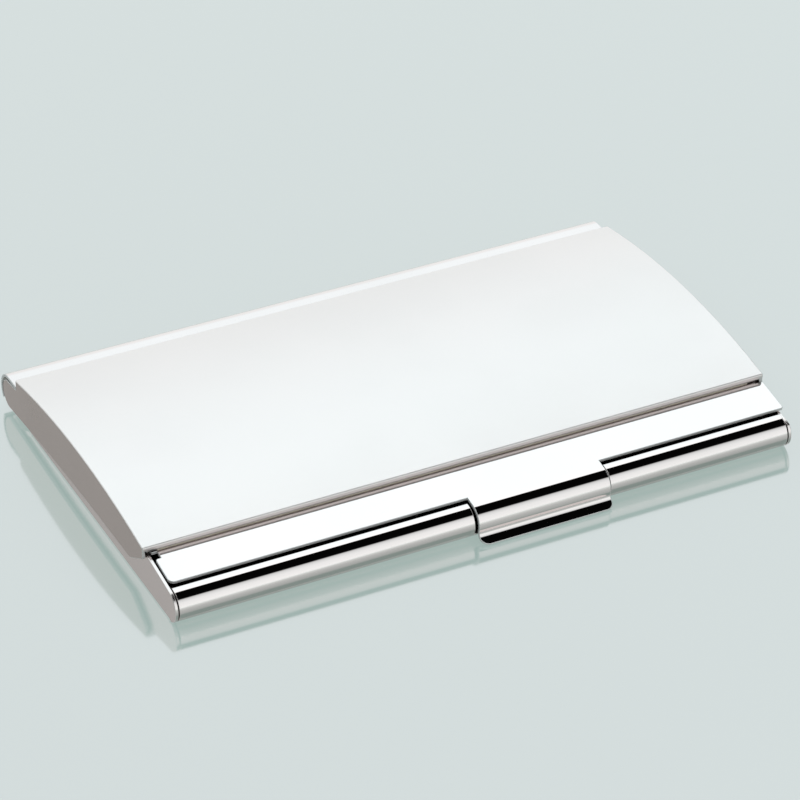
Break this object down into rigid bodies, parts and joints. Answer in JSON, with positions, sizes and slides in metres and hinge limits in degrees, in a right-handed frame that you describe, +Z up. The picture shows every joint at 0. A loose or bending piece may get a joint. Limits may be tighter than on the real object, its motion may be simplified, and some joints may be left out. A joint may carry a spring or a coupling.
{
  "type": "business card case",
  "caption": "Slim pressed-metal business card case: tray with rolled front, hinged lid with arched cover and offset thumb tongue, and a spring-backed card lifter.",
  "frame": {"origin": "centre of the case's outline on the surface that it lies on", "axes": "+X along the length, to the right seen from the front; +Y from the tongue towards the hinge; +Z up"},
  "size_m": [0.095, 0.0618, 0.0094],
  "materials": {
    "tray_steel": "polished chrome plate on pressed steel, fine-brushed side walls",
    "lifter_steel": "satin stainless sheet",
    "spring_steel": "drawn spring wire",
    "lid_chrome": "mirror chrome plate",
    "cover_chrome": "pearl-satin chrome plate, soft sheen",
    "bonding_tape": "thin acrylic bonding tape",
    "rod_steel": "ground steel rod"
  },
  "bodies": {
    "base": {"base_tray": "tray_steel", "lifter_spring_left": "spring_steel", "lifter_spring_right": "spring_steel"},
    "lid": {"lid_plate": "lid_chrome", "dome_cover": "cover_chrome", "cover_tape_front": "bonding_tape", "cover_tape_rear": "bonding_tape", "hinge_rod": "rod_steel"},
    "lifter": {"card_lifter": "lifter_steel"}
  },
  "joints": [
    {"name": "lid_hinge", "type": "hinge", "parent": "base", "child": "lid", "pos_m": [0, 0.0279, 0.0032], "axis": [-1, 0, 0], "range_deg": [0, 105]},
    {"name": "lifter_hinge", "type": "hinge", "parent": "base", "child": "lifter", "pos_m": [0, 0.0279, 0.0032], "axis": [-1, 0, 0], "range_deg": [0, 16.8]}
  ],
  "couplings": [
    {"joint": "lifter_hinge", "follows": "lid_hinge", "ratio": 0.16}
  ]
}
